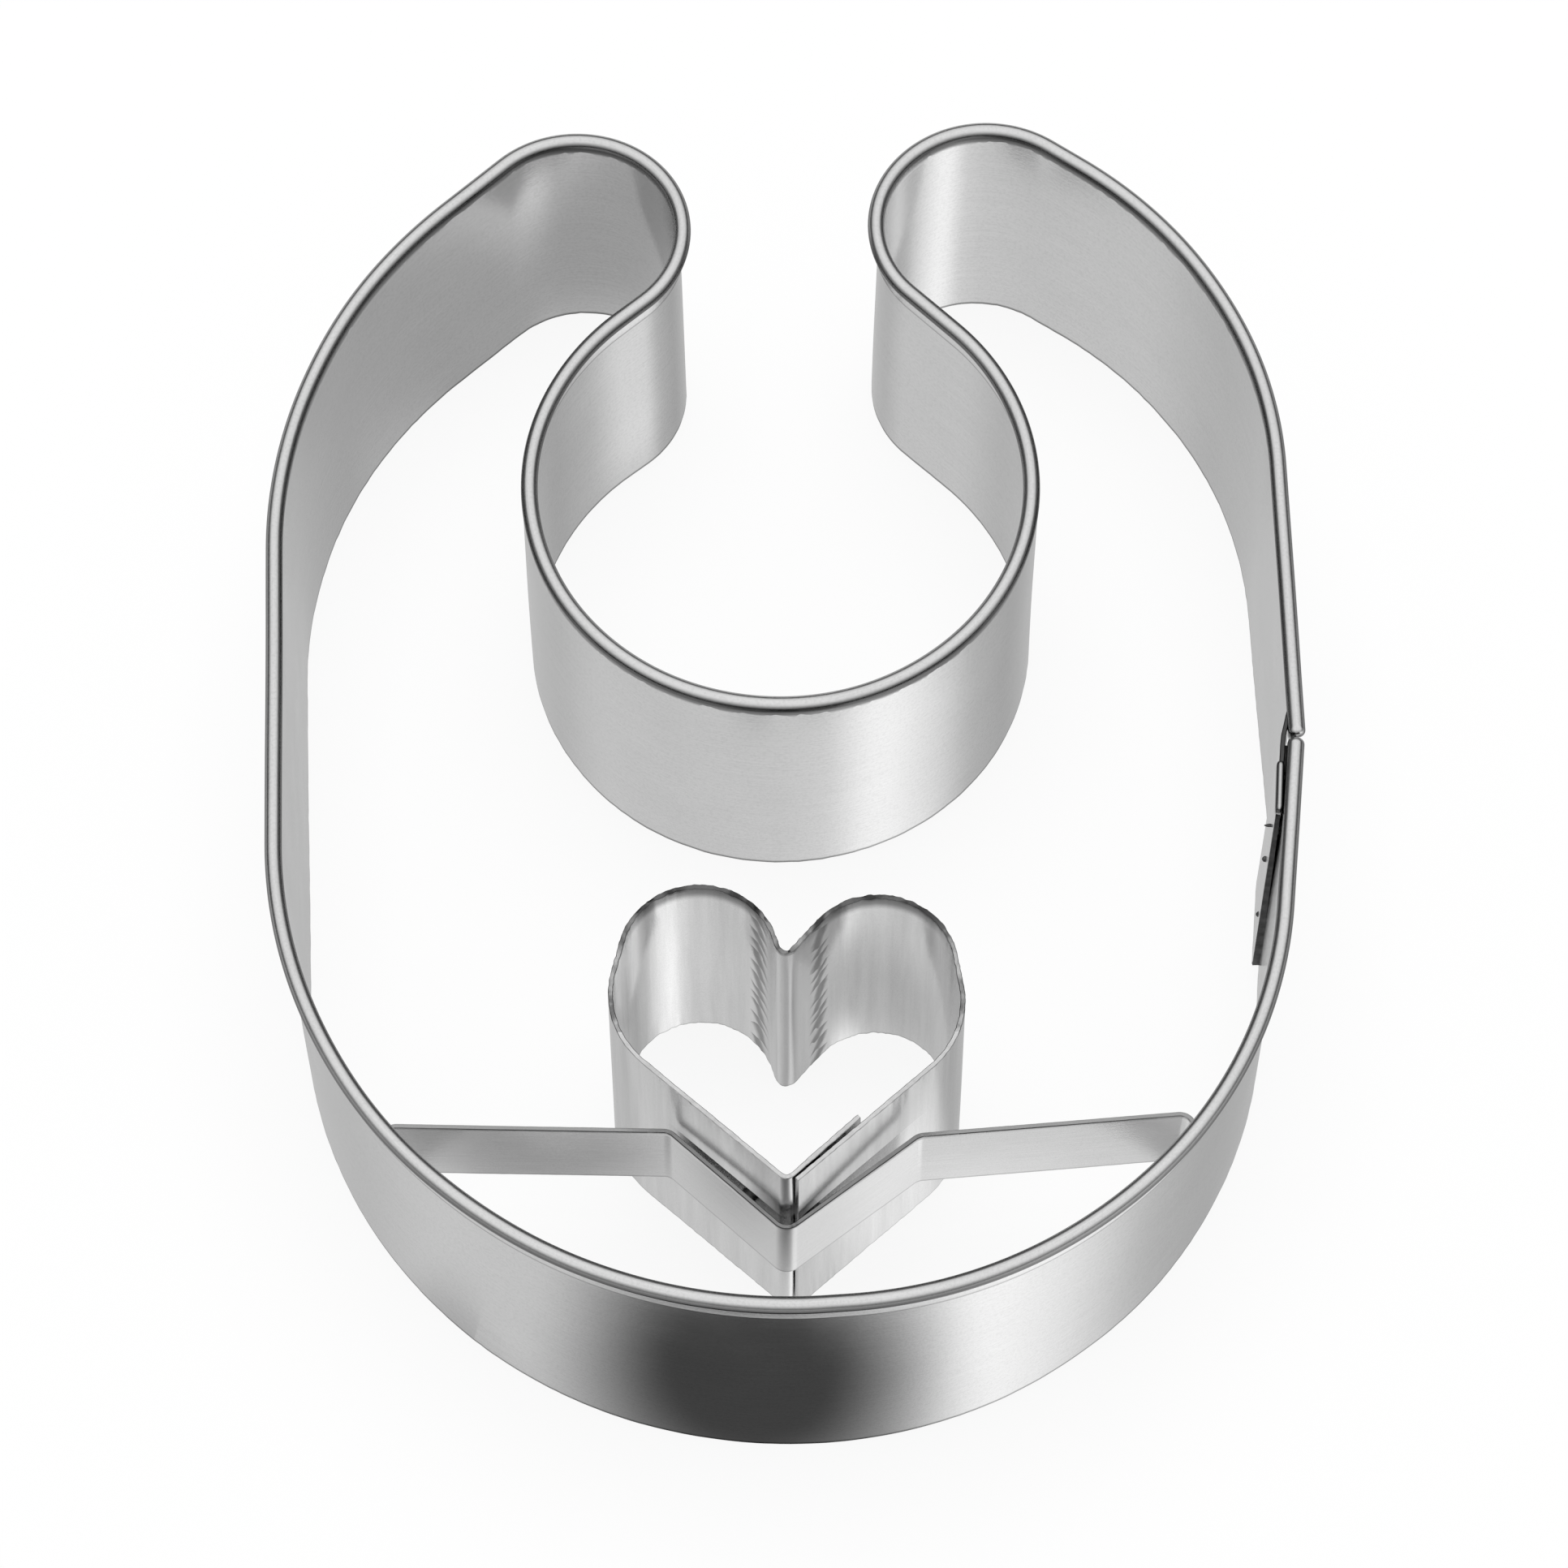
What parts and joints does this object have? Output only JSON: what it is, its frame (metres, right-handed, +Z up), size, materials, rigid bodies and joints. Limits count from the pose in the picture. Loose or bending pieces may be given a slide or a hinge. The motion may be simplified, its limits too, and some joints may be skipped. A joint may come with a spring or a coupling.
{
  "type": "baby bib cookie cutter",
  "caption": "Bib-shaped cookie cutter bent from thin steel strip, with a rolled top edge, an inner heart cutter and a bent bridge strap holding the heart.",
  "frame": {"origin": "middle of the part's footprint, in the plane of the cutting edges", "axes": "+Z up from the cutting edges to the rolled edge, +Y towards the bib's two shoulder straps, +X to the bib's right as seen from its bottom edge"},
  "size_m": [0.0642, 0.083, 0.0204],
  "materials": {
    "brushed_steel_band": "satin rolled stainless strip",
    "brushed_steel_heart": "satin rolled stainless strip with vertical rubbing marks",
    "brushed_steel_strap": "satin rolled stainless strip",
    "weld_steel": "fused spot-weld metal, slightly dark"
  },
  "bodies": {
    "root": {"outer_band": "brushed_steel_band", "heart_band": "brushed_steel_heart", "bridge_strap": "brushed_steel_strap", "band_seam_welds": "weld_steel", "heart_seam_welds": "weld_steel", "strap_end_welds": "weld_steel", "strap_heart_welds": "weld_steel"}
  },
  "joints": []
}
